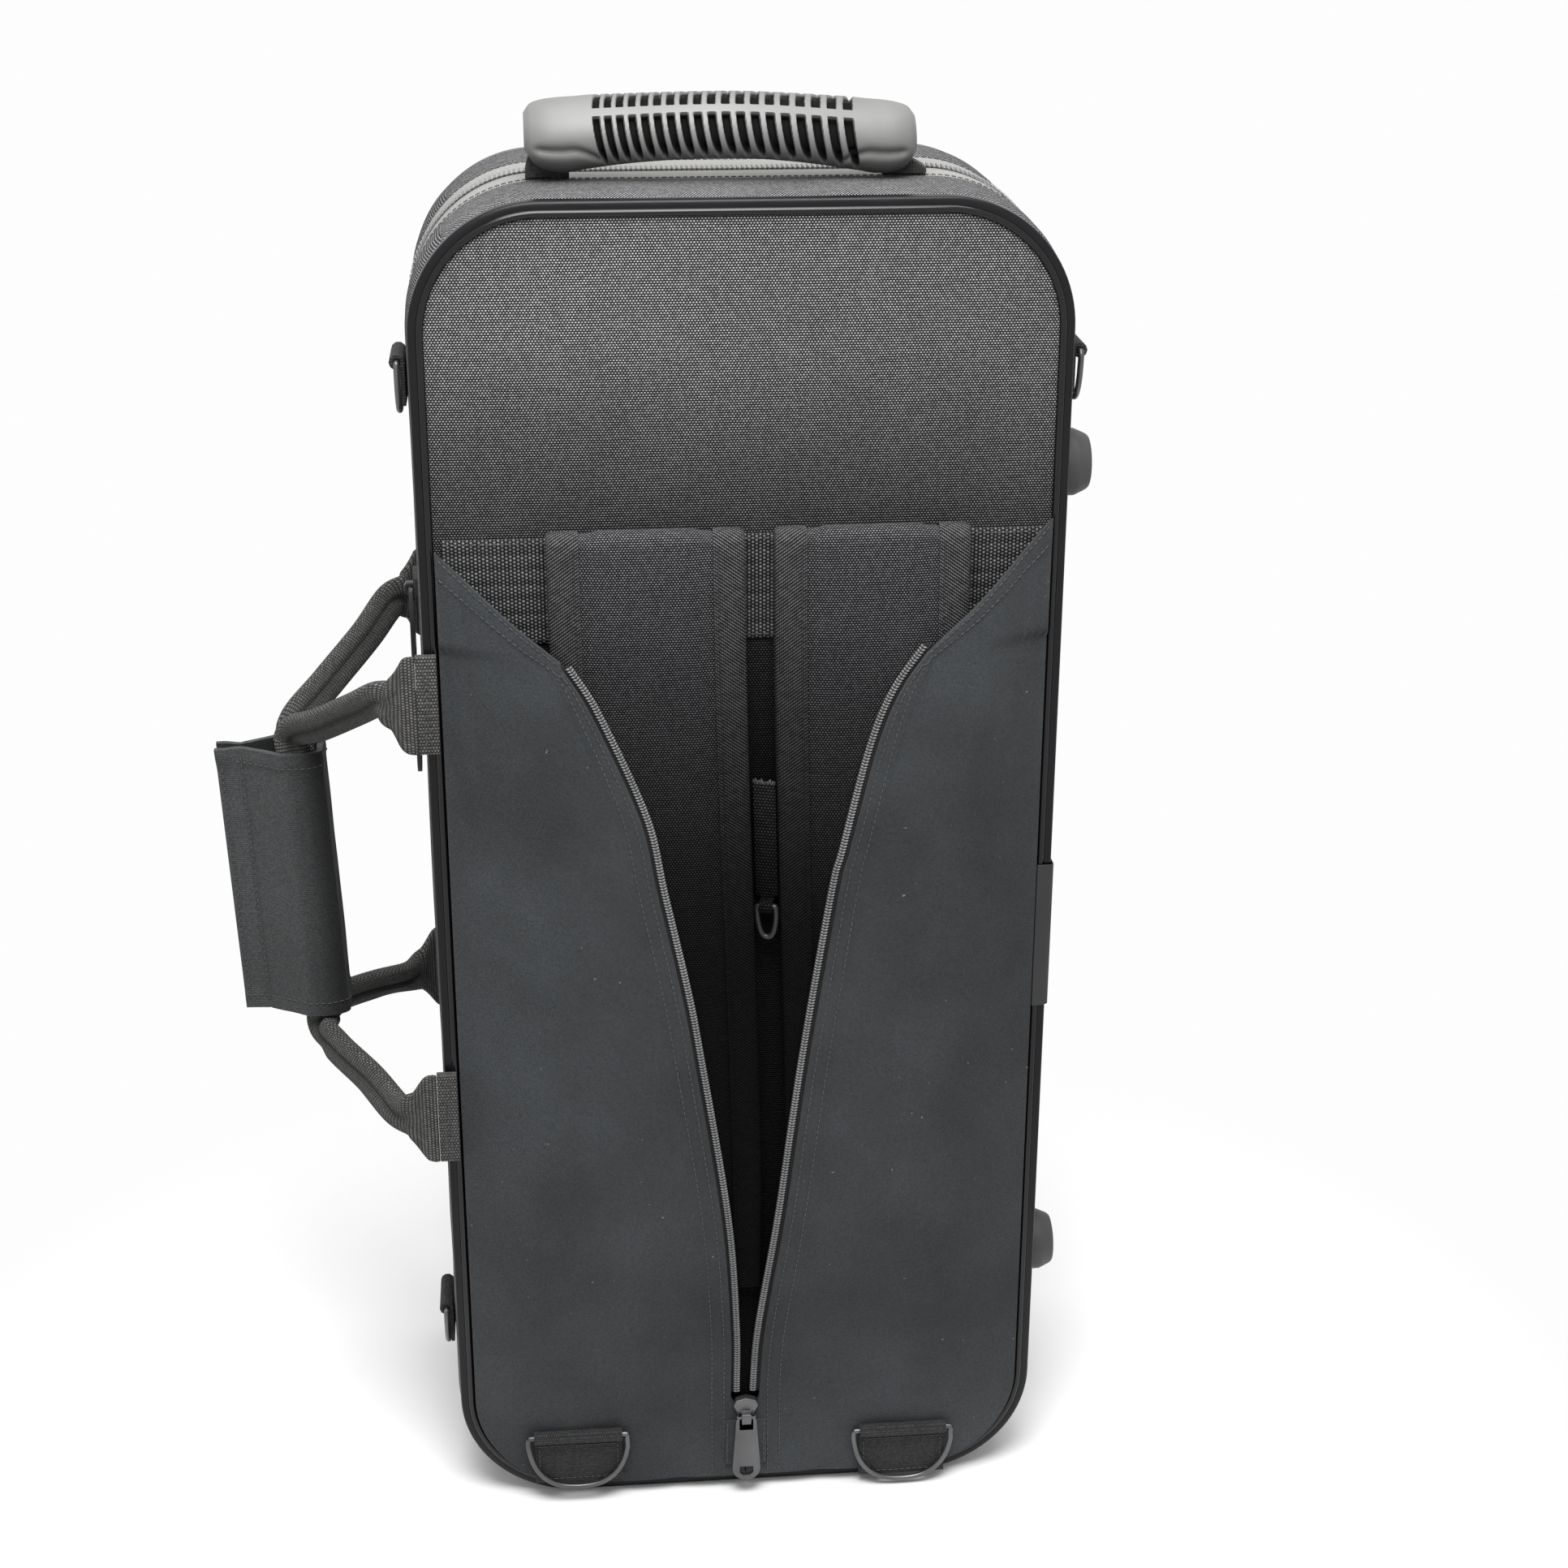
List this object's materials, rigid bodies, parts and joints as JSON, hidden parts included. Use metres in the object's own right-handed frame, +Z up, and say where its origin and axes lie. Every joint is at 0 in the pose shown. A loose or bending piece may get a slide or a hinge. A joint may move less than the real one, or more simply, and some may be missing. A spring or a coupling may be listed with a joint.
{
  "type": "trumpet case",
  "caption": "Soft zip case for a trumpet that opens like a book, with a front pocket, tucked shoulder straps, a moulded top handle and a wrapped side handle.",
  "frame": {"origin": "on the floor under the middle of the pocket half, which is the lower edge's middle", "axes": "+X towards the hinge side, -Y out of the front pocket, +Z up along the case's length"},
  "size_m": [0.3597, 0.1603, 0.6117],
  "materials": {
    "fabric": "coarse woven polyester, dark grey, matt",
    "pocket_fabric": "smoother woven polyester, dark blue-grey, matt",
    "strap_pad": "coarse woven polyester over foam, dark grey",
    "webbing": "ribbed woven webbing, dark grey",
    "binding": "twill binding tape, dark grey",
    "piping": "smooth vinyl bead, black",
    "sleeve": "satin cover strip, grey",
    "zip_tape": "herringbone zip tape, grey",
    "zip_coil": "moulded nylon coil, dark grey",
    "plush": "short plush over foam, near black",
    "rubber": "moulded rubber, mid grey, satin",
    "gunmetal": "gunmetal plating, satin"
  },
  "bodies": {
    "body": {"body_shell": "fabric", "body_hinge_tape": "fabric", "pocket_flap_left": "pocket_fabric", "pocket_flap_right": "pocket_fabric", "pocket_end_patch": "pocket_fabric", "strap_left_pad": "strap_pad", "strap_right_pad": "strap_pad", "top_handle_anchor_left": "webbing", "top_handle_anchor_right": "webbing", "webbing_band": "webbing", "strap_tail_webbing": "webbing", "ring_tab_left": "webbing", "ring_tab_right": "webbing", "side_tab_lower_left": "webbing", "side_tab_upper_left": "webbing", "side_tab_upper_right": "webbing", "carry_tab_front_upper": "webbing", "carry_tab_front_lower": "webbing", "strap_left_binding_left": "binding", "strap_left_binding_right": "binding", "strap_right_binding_left": "binding", "strap_right_binding_right": "binding", "body_piping": "piping", "piping_sleeve": "sleeve", "body_zip_tape": "zip_tape", "pocket_zip_left": "zip_tape", "pocket_zip_right": "zip_tape", "body_zip_coil": "zip_coil", "body_insert": "plush", "foot_front_upper": "rubber", "foot_front_lower": "rubber"},
    "lid": {"lid_shell": "fabric", "lid_piping": "piping", "lid_zip_tape": "zip_tape", "lid_zip_coil": "zip_coil", "lid_hinge_tape": "fabric", "lid_liner": "plush", "carry_tab_rear_upper": "webbing", "carry_tab_rear_lower": "webbing", "foot_rear_upper": "rubber", "foot_rear_lower": "rubber"},
    "top_handle": {"top_handle_grip": "rubber", "top_handle_webbing": "webbing"},
    "carry_front": {"carry_loop_front": "webbing", "carry_wrap_front": "pocket_fabric"},
    "carry_rear": {"carry_loop_rear": "webbing", "carry_wrap_rear": "pocket_fabric"},
    "front_ring_left": {"d_ring_left": "gunmetal"},
    "front_ring_right": {"d_ring_right": "gunmetal"},
    "wall_ring_lower_left": {"side_ring_lower_left": "gunmetal"},
    "wall_ring_upper_left": {"side_ring_upper_left": "gunmetal"},
    "wall_ring_upper_right": {"side_ring_upper_right": "gunmetal"},
    "tail_ring": {"strap_tail_ring": "gunmetal"},
    "pocket_zip_slider": {"pocket_slider": "gunmetal"},
    "pocket_zip_pull": {"pocket_pull": "gunmetal"},
    "main_zip_slider_upper": {"main_slider_upper": "gunmetal"},
    "main_zip_slider_lower": {"main_slider_lower": "gunmetal"},
    "main_zip_pull_upper": {"main_pull_upper": "gunmetal"},
    "main_zip_pull_lower": {"main_pull_lower": "gunmetal"}
  },
  "joints": [
    {"name": "lid_hinge", "type": "hinge", "parent": "body", "child": "lid", "pos_m": [0.1279, 0.04365, 0.2885], "axis": [0, 0, -1], "range_deg": [0, 105]},
    {"name": "top_handle_pivot", "type": "hinge", "parent": "body", "child": "top_handle", "pos_m": [-0.0046, 0.01865, 0.5796], "axis": [1, 0, 0], "range_deg": [-57, 0]},
    {"name": "carry_front_fold", "type": "hinge", "parent": "body", "child": "carry_front", "pos_m": [-0.1325, -0.02975, 0.2885], "axis": [0, 0, 1], "range_deg": [0, 75]},
    {"name": "carry_rear_fold", "type": "hinge", "parent": "lid", "child": "carry_rear", "pos_m": [-0.1325, 0.11705, 0.2885], "axis": [0, 0, -1], "range_deg": [0, 75]},
    {"name": "front_ring_left_swing", "type": "hinge", "parent": "body", "child": "front_ring_left", "pos_m": [-0.0762, -0.03415, 0.0349], "axis": [-1, 0, 0], "range_deg": [0, 165]},
    {"name": "front_ring_right_swing", "type": "hinge", "parent": "body", "child": "front_ring_right", "pos_m": [0.0695, -0.03415, 0.0294], "axis": [-1, 0, 0], "range_deg": [0, 165]},
    {"name": "wall_ring_lower_left_swing", "type": "hinge", "parent": "body", "child": "wall_ring_lower_left", "pos_m": [-0.1324, -0.00035, 0.0906], "axis": [0, 1, 0], "range_deg": [0, 150]},
    {"name": "wall_ring_upper_left_swing", "type": "hinge", "parent": "body", "child": "wall_ring_upper_left", "pos_m": [-0.1324, -0.00035, 0.5147], "axis": [0, 1, 0], "range_deg": [0, 150]},
    {"name": "wall_ring_upper_right_swing", "type": "hinge", "parent": "body", "child": "wall_ring_upper_right", "pos_m": [0.1324, -0.00035, 0.5147], "axis": [0, -1, 0], "range_deg": [0, 150]},
    {"name": "tail_ring_swing", "type": "hinge", "parent": "body", "child": "tail_ring", "pos_m": [0.0077, -0.03315, 0.2905], "axis": [0.955, -0.2954, 0.027], "range_deg": [-10, 10]},
    {"name": "pocket_slider_travel", "type": "slide", "parent": "body", "child": "pocket_zip_slider", "axis": [0, 0, 1], "range_m": [0, 0.006]},
    {"name": "pocket_pull_swing", "type": "hinge", "parent": "pocket_zip_slider", "child": "pocket_zip_pull", "pos_m": [-0.0013, -0.0352, 0.0407], "axis": [-1, 0, 0], "range_deg": [0, 150]},
    {"name": "main_slider_upper_travel", "type": "slide", "parent": "body", "child": "main_zip_slider_upper", "axis": [0, 0, 1], "range_m": [0, 0.1]},
    {"name": "main_slider_lower_travel", "type": "slide", "parent": "body", "child": "main_zip_slider_lower", "axis": [0, 0, 1], "range_m": [-0.285, 0]},
    {"name": "main_pull_upper_swing", "type": "hinge", "parent": "main_zip_slider_upper", "child": "main_zip_pull_upper", "pos_m": [-0.13425, 0.04365, 0.4071], "axis": [0, 1, 0], "range_deg": [0, 120]},
    {"name": "main_pull_lower_swing", "type": "hinge", "parent": "main_zip_slider_lower", "child": "main_zip_pull_lower", "pos_m": [-0.13425, 0.04365, 0.35806], "axis": [0, 1, 0], "range_deg": [0, 120]}
  ]
}
